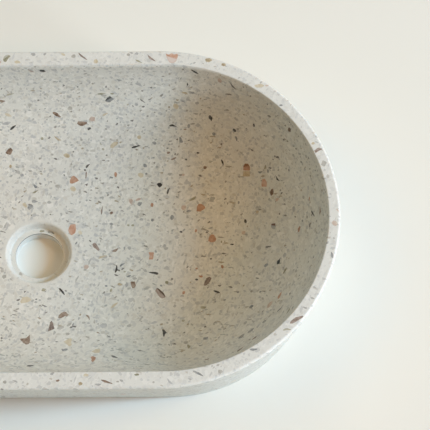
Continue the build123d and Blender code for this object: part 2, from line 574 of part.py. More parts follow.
# Chips, one node for each kind in each region
chip_nodes = []
for node, members in chips.items():
    bed = ledge_chip_bed if node.startswith("drain") else chip_bed
    with BuildPart() as chip_group:
        for (plane, bend), outline, turn in members:
            reach = max(hypot(*corner) for corner in outline)
            stand = chip_edge_stand + reach**2 / (2 * bend) if bend else 0.0
            with BuildSketch(plane.offset(stand)):
                Polygon(*outline, rotation=turn, align=None)
        extrude(amount=-bed)
    chip_group.part.label = node
    chip_nodes.append(chip_group.part)

# The finished casting, with a pocket for each chip
with BuildPart() as basin_body:
    add(casting.part)
    add(chip_nodes, mode=Mode.SUBTRACT)
basin_body.part.label = "basin_body"

os.makedirs("parts", exist_ok=True)
export_step(basin_body.part, "parts/basin_body.step")
export_step(drain_sleeve.part, "parts/drain_sleeve.step")
for chip_node in chip_nodes:
    export_step(chip_node, f"parts/{chip_node.label}.step")
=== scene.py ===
import bpy
from math import atan2, ceil, cos, hypot, pi, radians, sin, sqrt, tan
from mathutils import Matrix, Vector
from random import Random


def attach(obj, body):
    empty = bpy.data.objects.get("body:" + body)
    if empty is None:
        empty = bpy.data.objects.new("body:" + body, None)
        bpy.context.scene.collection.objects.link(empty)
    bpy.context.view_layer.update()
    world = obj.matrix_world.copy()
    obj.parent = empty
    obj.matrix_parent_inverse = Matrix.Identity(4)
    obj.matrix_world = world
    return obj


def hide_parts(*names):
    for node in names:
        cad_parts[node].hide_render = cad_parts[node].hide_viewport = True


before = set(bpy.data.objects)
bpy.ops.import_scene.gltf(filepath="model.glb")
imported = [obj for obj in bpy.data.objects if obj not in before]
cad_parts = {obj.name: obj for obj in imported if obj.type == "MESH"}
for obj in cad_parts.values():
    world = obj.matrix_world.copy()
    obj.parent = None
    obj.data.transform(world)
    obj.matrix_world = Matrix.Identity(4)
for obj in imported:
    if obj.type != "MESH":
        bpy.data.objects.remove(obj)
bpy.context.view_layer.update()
scene = bpy.context.scene
MM = 0.001


# Camera, fitted to the outlines in the photograph: place and far end in metres, angles in degrees, and lens
# and sensor in millimetres
CAMERA_PLACE, CAMERA_END = (0.1533, -0.4856, 1.2990), 20.0
CAMERA_AZIMUTH, CAMERA_ELEVATION, CAMERA_ROLL = -1.36, 67.77, 0.87
LENS, SENSOR_WIDTH = 122.06, 36.0


def place_camera():
    data = bpy.data.cameras.new("camera")
    data.sensor_width = SENSOR_WIDTH
    data.lens = LENS
    data.clip_end = CAMERA_END
    camera = bpy.data.objects.new("camera", data)
    scene.collection.objects.link(camera)
    azimuth, elevation, roll = radians(CAMERA_AZIMUTH), radians(CAMERA_ELEVATION), radians(CAMERA_ROLL)
    back = Vector((sin(azimuth) * cos(elevation), -cos(azimuth) * cos(elevation), sin(elevation)))
    right = (-back).cross(Vector((0, 0, 1))).normalized()
    up = right.cross(-back)
    turned_right = cos(roll) * right + sin(roll) * up
    turned_up = -sin(roll) * right + cos(roll) * up
    rotation = Matrix((turned_right, turned_up, back)).transposed()
    camera.matrix_world = Matrix.Translation(CAMERA_PLACE) @ rotation.to_4x4()
    scene.camera = camera


place_camera()

# Sizes of the casting in millimetres, as the CAD has them
RIM_LENGTH, RIM_WIDTH, HEIGHT = 550.0, 320.0, 120.0
BASE_LENGTH, BASE_WIDTH = 519.0, 269.0
BOWL_REACH, BOWL_HALF = 264.0, 144.5
FLOOR_Z, FLOOR_HALF = 20.0, 26.5
LEDGE_Z, LEDGE_R, LEDGE_CORNER = 12.0, 27.5, 1.2
RECESS_R, LIP_ROUND = 30.0, 2.6
HOLE_R, SLEEVE_R, SEAT_Z = 22.5, 24.5, 10.5
RIM_ROUND, BASE_ROUND, INNER_ROUND = 2.5, 1.5, 1.2
SPINE = BOWL_REACH - BOWL_HALF
RIM_SPINE = (RIM_LENGTH - RIM_WIDTH) / 2
BASE_SPINE = (BASE_LENGTH - BASE_WIDTH) / 2

# Small rounds of the drain hole in millimetres, which the CAD leaves sharp: its edge at the ledge, its lower
# edge, and the corner of the seat over the ring
HOLE_ROUND, UNDER_ROUND, SEAT_BREAK = 0.4, 0.2, 0.05

# The bowl's wall is one arc, level at the floor: its slope at the rim and its radius
SLOPE = 2 * atan2(HEIGHT - FLOOR_Z, BOWL_HALF - FLOOR_HALF)
WALL_R = (BOWL_HALF - FLOOR_HALF) / sin(SLOPE)


def bowl_z(x, y):
    out = hypot(max(abs(x) - SPINE, 0.0), y)
    if out <= FLOOR_HALF:
        return FLOOR_Z
    lean = min((out - FLOOR_HALF) / WALL_R, 1.0)
    return FLOOR_Z + WALL_R * (1 - sqrt(1 - lean * lean))


# Casting: one closed grid. Each row is a ring of stations round the basin. A station is its place along the
# straight, from -1 to 1, and the bearing that the wall faces there.
SIDE_STEPS, END_STEPS = 96, 180
RING = (
    [(2 * k / SIDE_STEPS - 1, -pi / 2) for k in range(SIDE_STEPS)]
    + [(1.0, -pi / 2 + pi * k / END_STEPS) for k in range(END_STEPS)]
    + [(1 - 2 * k / SIDE_STEPS, pi / 2) for k in range(SIDE_STEPS)]
    + [(-1.0, pi / 2 + pi * k / END_STEPS) for k in range(END_STEPS)]
)

# On the apron, up to this far from the spine in millimetres, the rows turn from circles to the bowl's
# outline. They crowd together towards its edge, by this power.
APRON, APRON_CROWDING = 38.0, 1.6

# Steps along each stretch of the casting's section, from the drain to the foot
UNDER_STEPS, HOLE_STEPS, LEDGE_STEPS, LIP_STEPS, APRON_STEPS = 4, 6, 8, 16, 20
BOWL_STEPS, INNER_STEPS, RIM_STEPS, FOOT_STEPS = 64, 7, 12, 7

# Rows across a flat stretch, as shares of its width: close together at its edges, so that it shades as flat
EDGED = (0.02, 0.06, 0.25, 0.5, 0.75, 0.94, 0.98, 1.0)


def stadium_ring(straight, radius, z):
    return [(along * straight + radius * cos(b), radius * sin(b), z) for along, b in RING]


def circle_ring(radius, z):
    """A round ring whose stations lie on the same rays as those of the bowl's apron."""
    ring = []
    for x, y, _ in stadium_ring(SPINE, APRON, 0):
        r = hypot(x, y)
        ring.append((x / r * radius, y / r * radius, z))
    return ring


def between(inner, outer, shares, height):
    """Rows at shares of the way from one ring to the next, at a height that depends on the place."""
    rows = []
    for share in shares:
        row = []
        for (ax, ay, _), (bx, by, _) in zip(inner, outer):
            x, y = ax + (bx - ax) * share, ay + (by - ay) * share
            row.append((x, y, height(x, y)))
        rows.append(row)
    return rows


def arc(start, sweep, steps):
    """Evenly spaced angles from the start of an arc to its end."""
    return [start + sweep * k / steps for k in range(steps + 1)]


def drain_rows():
    rows = [circle_ring(SLEEVE_R, z) for z in (0.0, SEAT_Z / 2, SEAT_Z - SEAT_BREAK)]
    rows += [circle_ring(r, SEAT_Z) for r in (SLEEVE_R - SEAT_BREAK, HOLE_R + UNDER_ROUND + SEAT_BREAK)]
    for a in arc(-pi / 2, -pi / 2, UNDER_STEPS)[1:]:
        rows.append(circle_ring(HOLE_R + UNDER_ROUND * (1 + cos(a)), SEAT_Z + UNDER_ROUND * (1 + sin(a))))
    for a in arc(pi, -pi / 2, HOLE_STEPS):
        rows.append(circle_ring(HOLE_R + HOLE_ROUND * (1 + cos(a)), LEDGE_Z - HOLE_ROUND * (1 - sin(a))))
    side_lean = atan2(RECESS_R - LEDGE_R, FLOOR_Z - LEDGE_Z)
    sweep = pi / 2 - side_lean
    inset = LEDGE_CORNER * tan(sweep / 2)
    for a in arc(-pi / 2, sweep, LEDGE_STEPS):
        radius = LEDGE_R - inset + LEDGE_CORNER * cos(a)
        rows.append(circle_ring(radius, LEDGE_Z + LEDGE_CORNER * (1 + sin(a))))
    inset = LIP_ROUND * tan(sweep / 2)
    for k, a in enumerate(arc(pi - side_lean, -sweep, LIP_STEPS)):
        ring = circle_ring(RECESS_R + inset + LIP_ROUND * cos(a), FLOOR_Z - LIP_ROUND * (1 - sin(a)))
        rows.append([(x, y, z + (bowl_z(x, y) - FLOOR_Z) * k / LIP_STEPS) for x, y, z in ring])
    shares = [1 - (1 - k / APRON_STEPS) ** APRON_CROWDING for k in range(1, APRON_STEPS + 1)]
    return rows + between(rows[-1], stadium_ring(SPINE, APRON, 0), shares, bowl_z)


def bowl_rows():
    rows = []
    start = atan2(APRON - FLOOR_HALF, sqrt(WALL_R**2 - (APRON - FLOOR_HALF) ** 2))
    stop = SLOPE - INNER_ROUND / WALL_R
    for a in arc(start, stop - start, BOWL_STEPS)[1:]:
        rows.append(stadium_ring(SPINE, FLOOR_HALF + WALL_R * sin(a), FLOOR_Z + WALL_R * (1 - cos(a))))
    for a in arc(pi / 2 + SLOPE, -SLOPE, INNER_STEPS):
        radius = BOWL_HALF + INNER_ROUND * (1 + cos(a))
        rows.append(stadium_ring(SPINE, radius, HEIGHT - INNER_ROUND * (1 - sin(a))))
    return rows


def outer_point(station, z, inset, lift):
    """A point set in from the outer wall's edge line at a height."""
    along, b = station
    share = z / HEIGHT
    straight = BASE_SPINE + (RIM_SPINE - BASE_SPINE) * share
    radius = (BASE_WIDTH + (RIM_WIDTH - BASE_WIDTH) * share) / 2 - inset
    return (along * straight + radius * cos(b), radius * sin(b), z + lift)


def wall_lean(station):
    """The outer wall's lean from upright at a station."""
    shift = (RIM_SPINE - BASE_SPINE) * abs(cos(station[1]))
    return atan2((RIM_WIDTH - BASE_WIDTH) / 2 + shift, HEIGHT)


def rim_row(step):
    """A row on the rim's outer round. Row 0 ends the flat top."""
    row = []
    for station in RING:
        sweep = pi / 2 + wall_lean(station)
        inset = RIM_ROUND * tan(sweep / 2)
        a = pi / 2 - sweep * step / RIM_STEPS
        row.append(outer_point(station, HEIGHT, inset - RIM_ROUND * cos(a), RIM_ROUND * (sin(a) - 1)))
    return row


def foot_row(step):
    """A row on the round of the wall's foot. Row 0 ends the wall."""
    row = []
    for station in RING:
        lean = wall_lean(station)
        inset = BASE_ROUND * tan((pi / 2 - lean) / 2)
        a = -lean - (pi / 2 - lean) * step / FOOT_STEPS
        row.append(outer_point(station, 0, inset - BASE_ROUND * cos(a), BASE_ROUND * (1 + sin(a))))
    return row


def outside_rows():
    inner = stadium_ring(SPINE, BOWL_HALF + INNER_ROUND, HEIGHT)
    rows = between(inner, rim_row(0), EDGED, lambda x, y: HEIGHT)
    rows += [rim_row(step) for step in range(1, RIM_STEPS + 1)]
    top, foot = rows[-1], foot_row(0)
    for share in EDGED:
        rows.append([tuple(a + (b - a) * share for a, b in zip(p, q)) for p, q in zip(top, foot)])
    rows += [foot_row(step) for step in range(1, FOOT_STEPS + 1)]
    return rows + between(rows[-1], circle_ring(SLEEVE_R, 0), EDGED[:-1], lambda x, y: 0.0)


def link_mesh(name, points, faces):
    mesh = bpy.data.meshes.new(name)
    mesh.from_pydata([(x * MM, y * MM, z * MM) for x, y, z in points], [], faces)
    mesh.polygons.foreach_set("use_smooth", [True] * len(mesh.polygons))
    made = bpy.data.objects.new(name, mesh)
    scene.collection.objects.link(made)
    return made


def make_casting():
    rows = drain_rows() + bowl_rows() + outside_rows()
    count = len(RING)
    faces = []
    for r in range(len(rows)):
        near, far = r * count, ((r + 1) % len(rows)) * count
        for k in range(count):
            n = (k + 1) % count
            faces.append((near + k, far + k, far + n, near + n))
    made = link_mesh("casting", [p for row in rows for p in row], faces)
    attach(made, "root")
    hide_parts("basin_body")
    return made


def rim_drop(x, y):
    """How far the rim's rounded edges lie below its flat top."""
    beside = max(abs(x) - RIM_SPINE, 0.0)
    inset = RIM_ROUND * tan((pi / 2 + wall_lean((0, atan2(y, beside)))) / 2)
    past_outer = hypot(beside, y) - RIM_WIDTH / 2 + inset
    past_inner = BOWL_HALF + INNER_ROUND - hypot(max(abs(x) - SPINE, 0.0), y)
    drop = 0.0
    for past, radius in ((past_outer, RIM_ROUND), (past_inner, INNER_ROUND)):
        if past > 0:
            drop += radius - sqrt(max(radius * radius - past * past, 0.0))
    return drop


# Chips: each lies where its CAD solid lies, ground to the curve of the surface, with a broken stone's
# outline. Corners of a solid that agree to this many digits of a millimetre are one.
WELD_DIGITS = 3

# A chip's outline: its corners are worn back by a share of each side, or by this many millimetres if that is
# less, and its edge is cut into steps whose ends are shifted at random
WORN_SHARE, WORN_REACH = 0.3, 0.35
EDGE_STEP, EDGE_SHIFT = 0.8, 0.1

# In millimetres: how far a chip's top stands above the casting, how far its side sinks, and its rings' step
CHIP_STAND, CHIP_SINK, CHIP_STEP = 0.03, 0.7, 1.6

# Each chip shows another part of its stone's markings, up to this many millimetres on. Edges sharper than
# this many degrees shade as edges.
MARKING_SPREAD, SHARP_ANGLE = 50, 50

# Chips of two stones: place in plan, bearing of the second stone in degrees, its start from the chip's
# middle, and its tone. A chip is the one meant if its middle is within the next distance of the place.
TWO_STONES = (
    ((69, 130), 110, 0.5, (0.06, 0.06, 0.06)),
    ((114.3, -41.3), 42, 1.0, (0.09, 0.055, 0.03)),
    ((219.5, 15), 70, 0.4, (0.17, 0.09, 0.07)),
    ((86.5, 50), -15, 0.8, (0.56, 0.54, 0.50)),
    ((195.5, 73), 90, 0.8, (0.27, 0.14, 0.07)),
    ((127, 152), -110, 0.3, (0.68, 0.59, 0.54)),
    ((-24, 153), 130, 0.9, (0.50, 0.50, 0.43)),
)
SAME_CHIP = 2.5
OUT_OF_REACH = 100.0


def on_surface(region, x, y, z):
    """The nearest point of a region's surface, and its outward normal."""
    if region == "rim":
        return Vector((x, y, HEIGHT - rim_drop(x, y))), Vector((0, 0, 1))
    if region == "drain":
        return Vector((x, y, LEDGE_Z)), Vector((0, 0, 1))
    if region == "bowl":
        centre = max(-SPINE, min(SPINE, x))
        out = hypot(x - centre, y)
        if out <= FLOOR_HALF:
            return Vector((x, y, FLOOR_Z)), Vector((0, 0, 1))
        a = atan2(out - FLOOR_HALF, FLOOR_Z + WALL_R - z)
        away = Vector(((x - centre) / out, y / out, 0))
        point = Vector((centre, 0, FLOOR_Z + WALL_R * (1 - cos(a)))) + away * (FLOOR_HALF + WALL_R * sin(a))
        return point, away * -sin(a) + Vector((0, 0, cos(a)))
    share = z / HEIGHT
    straight = BASE_SPINE + (RIM_SPINE - BASE_SPINE) * share
    radius = (BASE_WIDTH + (RIM_WIDTH - BASE_WIDTH) * share) / 2
    centre = max(-straight, min(straight, x))
    away = Vector((x - centre, y, 0)).normalized()
    lean = ((RIM_WIDTH - BASE_WIDTH) / 2 + (RIM_SPINE - BASE_SPINE) * abs(away.x)) / HEIGHT
    return Vector((centre, 0, z)) + away * radius, (away - Vector((0, 0, lean))).normalized()


def solids_of(mesh):
    """The separate solids of a CAD mesh, each as welded corners in millimetres and triangles."""
    keys, corners, index = {}, [], []
    for v in mesh.vertices:
        key = tuple(round(c / MM, WELD_DIGITS) for c in v.co)
        if key not in keys:
            keys[key] = len(corners)
            corners.append(Vector(key))
        index.append(keys[key])
    parent = list(range(len(corners)))

    def root(i):
        while parent[i] != i:
            parent[i] = parent[parent[i]]
            i = parent[i]
        return i

    faces = [[index[v] for v in p.vertices] for p in mesh.polygons]
    for face in faces:
        for v in face[1:]:
            parent[root(v)] = root(face[0])
    groups = {}
    for face in faces:
        groups.setdefault(root(face[0]), []).append(face)
    return [(corners, groups[key]) for key in sorted(groups, key=lambda g: tuple(corners[g]))]


def top_outline(region, corners, faces):
    """The corners round a chip's ground face, in order."""
    used = sorted({v for face in faces for v in face})
    middle = sum((corners[v] for v in used), Vector()) / len(used)
    normal = on_surface(region, *middle)[1]
    top = {v for v in used if (corners[v] - middle).dot(normal) > 0}
    sides = {side for face in faces if top.issuperset(face) for side in zip(face, face[1:] + face[:1])}
    following = {a: b for a, b in sides if (b, a) not in sides}
    loop = [min(following)]
    while following[loop[-1]] != loop[0]:
        loop.append(following[loop[-1]])
    return [corners[v] for v in loop]


def broken_outline(loop, draw):
    """The outline with its corners worn and its edges slightly uneven."""
    worn = []
    for k, point in enumerate(loop):
        for other in (loop[k - 1], loop[(k + 1) % len(loop)]):
            side = other - point
            worn.append(point + side * min(WORN_SHARE, WORN_REACH / side.length))
    fine = []
    for k, point in enumerate(worn):
        after = worn[(k + 1) % len(worn)]
        steps = max(1, ceil((after - point).length / EDGE_STEP))
        for s in range(steps):
            shift = Vector([draw.uniform(-EDGE_SHIFT, EDGE_SHIFT) for _ in range(3)])
            fine.append(point + (after - point) * s / steps + shift)
    return fine


def second_stone(middle):
    """The bearing, start and tone of a chip's second stone, or a start that it never reaches."""
    for (x, y), bearing, start, tone in TWO_STONES:
        if hypot(middle.x - x, middle.y - y) < SAME_CHIP:
            return Vector((cos(radians(bearing)), sin(radians(bearing)), 0)), start, tone
    return Vector((1, 0, 0)), OUT_OF_REACH, (0.5, 0.5, 0.5)


def chip_faces(first, count, rings):
    """The faces of a chip. Its points: the middle, the rings with the sunk one last, the sunk middle."""
    last = first + 1 + (rings + 1) * count
    faces = []
    for k in range(count):
        n = (k + 1) % count
        faces.append((first, first + 1 + k, first + 1 + n))
        for ring in range(rings):
            near = first + 1 + ring * count
            faces.append((near + k, near + count + k, near + count + n, near + n))
        faces.append((last - count + k, last, last - count + n))
    return faces


def add_chip(region, loop, draw, points, faces, values):
    """Adds a chip to its piece: points and faces, and the values that its material reads at each point."""
    middle = sum(loop, Vector()) / len(loop)
    normal = on_surface(region, *middle)[1]
    longest = max(loop, key=lambda p: (p - middle).length) - middle
    along = (longest - normal * longest.dot(normal)).normalized()
    across = normal.cross(along)
    shade = draw.random()
    offset = Vector([draw.uniform(0, MARKING_SPREAD) for _ in range(3)])
    bearing, start, tone = second_stone(middle)
    rings = max(2, ceil(longest.length / CHIP_STEP))
    first = len(points)

    def put(place, stand, share):
        on, up = on_surface(region, *place)
        points.append(on + up * stand)
        away = place - middle
        values["tint"].append(shade)
        values["edge"].append(share)
        values["past"].append(away.dot(bearing) - start)
        values["local"].extend(Vector((away.dot(along), away.dot(across), away.dot(normal))) + offset)
        values["second"].extend(tone)

    put(middle, CHIP_STAND, 0.0)
    for ring in range(1, rings + 1):
        for place in loop:
            put(middle + (place - middle) * ring / rings, CHIP_STAND, ring / rings)
    for place in loop:
        put(place, -CHIP_SINK, 1.0)
    put(middle, -CHIP_SINK, 0.0)
    faces.extend(chip_faces(first, len(loop), rings))


def make_chips(node_name, node):
    region, kind = node_name.split("_chips_")
    points, faces = [], []
    values = {"tint": [], "edge": [], "past": [], "local": [], "second": []}
    for number, (corners, solid_faces) in enumerate(solids_of(node.data)):
        draw = Random(f"{node_name} {number}")
        loop = broken_outline(top_outline(region, corners, solid_faces), draw)
        add_chip(region, loop, draw, points, faces, values)
    made = link_mesh(f"{region}_stones_{kind}", points, faces)
    for name, numbers in values.items():
        if name in ("local", "second"):
            made.data.attributes.new(name, "FLOAT_VECTOR", "POINT").data.foreach_set("vector", numbers)
        else:
            made.data.attributes.new(name, "FLOAT", "POINT").data.foreach_set("value", numbers)
    made.data.set_sharp_from_angle(angle=radians(SHARP_ANGLE))
    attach(made, "root")
    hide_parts(node_name)
    made.data.materials.append(chip_material(kind))
    return made


# Materials. Almost all of a noise falls between these two values.
NOISE_LOW, NOISE_HIGH = 0.3, 0.7


class Graph:
    """Short ways to add shader nodes to a new material."""

    def __init__(self, name):
        self.material = bpy.data.materials.new(name)
        self.material.use_nodes = True
        self.tree = self.material.node_tree
        self.tree.nodes.clear()
        output = self.tree.nodes.new("ShaderNodeOutputMaterial")
        self.shader = self.tree.nodes.new("ShaderNodeBsdfPrincipled")
        self.tree.links.new(self.shader.outputs["BSDF"], output.inputs["Surface"])

    def link(self, value, socket):
        if isinstance(value, bpy.types.NodeSocket):
            self.tree.links.new(value, socket)
        elif isinstance(value, (tuple, list)) and socket.type == "RGBA" and len(value) == 3:
            socket.default_value = (*value, 1)
        else:
            socket.default_value = value

    def node(self, kind, settings=None, **inputs):
        made = self.tree.nodes.new(kind)
        for key, value in (settings or {}).items():
            setattr(made, key, value)
        for key, value in inputs.items():
            self.link(value, made.inputs[key.replace("_", " ")])
        return made

    def math(self, operation, a, b=0.0):
        made = self.node("ShaderNodeMath", {"operation": operation})
        self.link(a, made.inputs[0])
        self.link(b, made.inputs[1])
        return made.outputs[0]

    def line(self, value, slope, start):
        """The start and a share of the value."""
        return self.math("ADD", self.math("MULTIPLY", value, slope), start)

    def step(self, value, low, high):
        """Smoothly from 0 at low to 1 at high."""
        made = self.node("ShaderNodeMapRange", {"interpolation_type": "SMOOTHSTEP"})
        for key, v in (("Value", value), ("From Min", low), ("From Max", high)):
            self.link(v, made.inputs[key])
        return made.outputs["Result"]

    def mix(self, share, a, b, blend="MIX"):
        made = self.node("ShaderNodeMix", {"data_type": "RGBA", "blend_type": blend})
        self.link(share, made.inputs[0])
        self.link(a, made.inputs[6])
        self.link(b, made.inputs[7])
        return made.outputs[2]

    def ramp(self, value, stops, interpolation="LINEAR"):
        made = self.node("ShaderNodeValToRGB", Fac=value)
        ramp = made.color_ramp
        ramp.interpolation = interpolation
        while len(ramp.elements) < len(stops):
            ramp.elements.new(0.5)
        for element, (place, color) in zip(ramp.elements, stops):
            element.position = place
            element.color = (*color, 1)
        return made.outputs["Color"]

    def tones(self, noise, low, high):
        """From one tone to another with a noise."""
        return self.ramp(noise, [(NOISE_LOW, low), (NOISE_HIGH, high)])

    def noise(self, vector, scale, detail, roughness=0.5):
        kind = "ShaderNodeTexNoise"
        return self.node(kind, Vector=vector, Scale=scale, Detail=detail, Roughness=roughness)

    def voronoi(self, vector, scale, feature):
        settings = {"feature": feature}
        return self.node("ShaderNodeTexVoronoi", settings, Vector=vector, Scale=scale, Randomness=1.0)

    def attribute(self, name, output):
        return self.node("ShaderNodeAttribute", {"attribute_name": name}).outputs[output]

    def shift(self, vector, offset):
        made = self.node("ShaderNodeVectorMath", {"operation": "ADD"})
        self.link(vector, made.inputs[0])
        self.link(offset, made.inputs[1])
        return made.outputs[0]

    def bump(self, height, strength):
        """Fine relief a tenth of a millimetre deep at most."""
        made = self.node("ShaderNodeBump", Strength=strength, Distance=0.1 * MM, Height=height)
        self.link(made.outputs[0], self.shader.inputs["Normal"])

    def scaled(self, vector, factor):
        made = self.node("ShaderNodeVectorMath", {"operation": "SCALE"}, Scale=factor)
        self.link(vector, made.inputs[0])
        return made.outputs[0]

    def surface(self, color, roughness, specular=0.5):
        self.link(color, self.shader.inputs["Base Color"])
        self.link(roughness, self.shader.inputs["Roughness"])
        self.link(specular, self.shader.inputs["Specular IOR Level"])


# Tones of the crushed stone in the matrix
PALE = (
    (0.635, 0.64, 0.61),
    (0.68, 0.68, 0.635),
    (0.62, 0.625, 0.595),
    (0.66, 0.65, 0.595),
    (0.80, 0.795, 0.75),
)
GREY = (
    (0.56, 0.565, 0.545),
    (0.52, 0.525, 0.51),
    (0.585, 0.575, 0.525),
    (0.54, 0.55, 0.54),
    (0.47, 0.47, 0.445),
)
DARK = (
    (0.27, 0.26, 0.23),
    (0.36, 0.35, 0.31),
    (0.42, 0.37, 0.28),
    (0.18, 0.17, 0.16),
    (0.40, 0.42, 0.40),
)

# Crushed stone, layer by layer: stones per metre, turn in degrees, stretch, the cement left round a stone in
# cells, the share of the cells that hold a stone, and the tones
AGGREGATE = (
    (430.0, (35, 40, 25), (1.5, 0.9, 0.8), 0.08, 0.26, PALE),
    (330.0, (50, 15, 70), (1.6, 0.9, 0.8), 0.08, 0.24, PALE),
    (250.0, (20, 35, 140), (1.5, 0.9, 0.8), 0.07, 0.22, PALE),
    (380.0, (10, 60, 110), (1.6, 0.8, 0.8), 0.09, 0.09, GREY),
    (300.0, (70, 20, 5), (1.5, 0.8, 0.9), 0.09, 0.08, GREY),
    (330.0, (15, 10, 75), (2.2, 0.6, 0.8), 0.10, 0.04, GREY),
    (420.0, (25, 20, 165), (2.4, 0.6, 0.7), 0.10, 0.019, DARK),
    (430.0, (10, 15, 35), (1.3, 0.8, 0.9), 0.14, 0.017, DARK),
)

# Cement: its two tones, those of its grain, and the grain's share. Noise is in waves per metre.
CEMENT = ((0.718, 0.717, 0.668), (0.748, 0.747, 0.698))
GRAIN = ((0.48, 0.48, 0.44), (0.95, 0.95, 0.89))
GRAIN_SHARE = 0.16
CLOUD_SCALE, GRAIN_SCALE = 55.0, 1500.0

# Outlines of the crushed stones: waves per metre and metres of unevenness, and the blur of an edge in cells
UNEVEN_SCALE, UNEVEN_REACH, STONE_BLUR = 900.0, 0.0007, 0.02

# Where the matrix changes its look, in metres from the drain's axis or above the table. By the drain only a
# share of the stones' tones shows, the rim's top is paler, and the hole's edge is painted shade of the gap
# below.
DRAIN_CLEAR, DRAIN_SHARE = (0.033, 0.036), 0.25
# Above this height the rim's top is mixed towards a paler tone
PALER_TOP_RISE, PALER_TOP_SHARE, PALER_TOP_TONE = (0.1165, 0.1195), 0.4, (0.78, 0.795, 0.775)
# Painted shade: a dark band on the hole's lower edge, standing for the shadow in the gap between casting and
# ring
GAP_SHADE_REACH, GAP_SHADE_TOP, GAP_SHADE_TONE = (0.0236, 0.0232), (0.0119, 0.0117), (0.08, 0.08, 0.07)

# The outer wall leans out, so it faces down a little: painted shade, the tone that darkens what faces down,
# and the height of the normal where it starts and where it is full
DOWNWARD_PAINTED_SHADE, PAINTED_SHADE_FACING = (0.90, 0.925, 0.94), (0.1, -0.1)

CEMENT_ROUGHNESS, STONE_ROUGHNESS = 0.50, 0.40


def crushed_stones(g, place, cement):
    """The cement with every layer of stones in it, and a mask that is 1 where there is stone."""
    shaken = g.shift(g.noise(place, UNEVEN_SCALE, detail=1.0).outputs["Color"], (-0.5, -0.5, -0.5))
    uneven = g.shift(place, g.scaled(shaken, UNEVEN_REACH))
    color, stone = cement, 0.0
    for scale, turn, stretch, gap, share, tones in AGGREGATE:
        turned = g.node("ShaderNodeMapping", {"vector_type": "TEXTURE"}, Vector=uneven, Scale=stretch)
        turned.inputs["Rotation"].default_value = [radians(t) for t in turn]
        cells = g.voronoi(turned.outputs[0], scale, "F1")
        border = g.voronoi(turned.outputs[0], scale, "DISTANCE_TO_EDGE")
        channels = g.node("ShaderNodeSeparateColor")
        g.link(cells.outputs["Color"], channels.inputs[0])
        inside = g.step(border.outputs["Distance"], gap - STONE_BLUR, gap + STONE_BLUR)
        chosen = g.math("LESS_THAN", channels.outputs[0], share)
        tone = g.ramp(channels.outputs[1], [(k / len(tones), t) for k, t in enumerate(tones)], "CONSTANT")
        covered = g.math("MULTIPLY", chosen, inside)
        color = g.mix(covered, color, tone)
        stone = g.math("MAXIMUM", stone, covered)
    return color, stone


def terrazzo_material():
    """The matrix with its fine aggregate: cut through a pile of crushed stones of several sizes."""
    g = Graph("terrazzo_matrix")
    coordinates = g.node("ShaderNodeTexCoord")
    place = coordinates.outputs["Object"]
    grain = g.noise(place, GRAIN_SCALE, detail=2.0).outputs["Fac"]
    cement = g.tones(g.noise(place, CLOUD_SCALE, detail=3.0).outputs["Fac"], *CEMENT)
    cement = g.mix(GRAIN_SHARE, cement, g.tones(grain, *GRAIN))
    color, stone = crushed_stones(g, place, cement)
    axes = g.node("ShaderNodeSeparateXYZ")
    g.link(place, axes.inputs[0])
    across = g.math("SQRT", g.math("ADD", *[g.math("POWER", axes.outputs[k], 2.0) for k in range(2)]))
    height = axes.outputs[2]
    color = g.mix(g.line(g.step(across, *DRAIN_CLEAR), 1 - DRAIN_SHARE, DRAIN_SHARE), cement, color)
    color = g.mix(g.math("MULTIPLY", g.step(height, *PALER_TOP_RISE), PALER_TOP_SHARE), color, PALER_TOP_TONE)
    # Painted shade of the gap between the hole's edge and the ring
    painted_gap_shade = g.math("MULTIPLY", g.step(across, *GAP_SHADE_REACH), g.step(height, *GAP_SHADE_TOP))
    color = g.mix(painted_gap_shade, color, GAP_SHADE_TONE)
    facing = g.node("ShaderNodeSeparateXYZ")
    g.link(coordinates.outputs["Normal"], facing.inputs[0])
    # Painted shade: what faces down, the outer wall most, is darkened
    color = g.mix(g.step(facing.outputs[2], *PAINTED_SHADE_FACING), color, DOWNWARD_PAINTED_SHADE, "MULTIPLY")
    g.bump(grain, strength=0.25)
    g.surface(color, g.line(stone, STONE_ROUGHNESS - CEMENT_ROUGHNESS, CEMENT_ROUGHNESS), specular=0.35)
    return g.material


# Each kind: its darker, middle and lighter tone
TONES = {
    "terracotta": ((0.36, 0.20, 0.12), (0.48, 0.28, 0.19), (0.56, 0.37, 0.27)),
    "coral": ((0.50, 0.27, 0.18), (0.59, 0.37, 0.27), (0.66, 0.50, 0.41)),
    "pink": ((0.50, 0.40, 0.34), (0.60, 0.49, 0.42), (0.70, 0.63, 0.55)),
    "cream": ((0.56, 0.49, 0.35), (0.63, 0.56, 0.42), (0.70, 0.65, 0.52)),
    "ochre": ((0.38, 0.31, 0.20), (0.54, 0.46, 0.32), (0.66, 0.60, 0.46)),
    "brown": ((0.10, 0.06, 0.035), (0.26, 0.18, 0.13), (0.38, 0.31, 0.25)),
    "mauve": ((0.18, 0.14, 0.12), (0.33, 0.26, 0.22), (0.44, 0.37, 0.33)),
    "black": ((0.02, 0.019, 0.018), (0.07, 0.068, 0.065), (0.15, 0.147, 0.14)),
    "slate": ((0.20, 0.215, 0.22), (0.31, 0.325, 0.325), (0.42, 0.43, 0.42)),
    "blue_grey": ((0.38, 0.39, 0.39), (0.46, 0.465, 0.455), (0.56, 0.565, 0.555)),
    "olive": ((0.26, 0.25, 0.17), (0.38, 0.37, 0.27), (0.50, 0.48, 0.39)),
    "grey": ((0.40, 0.39, 0.35), (0.49, 0.48, 0.44), (0.57, 0.56, 0.52)),
}
made_materials = {}

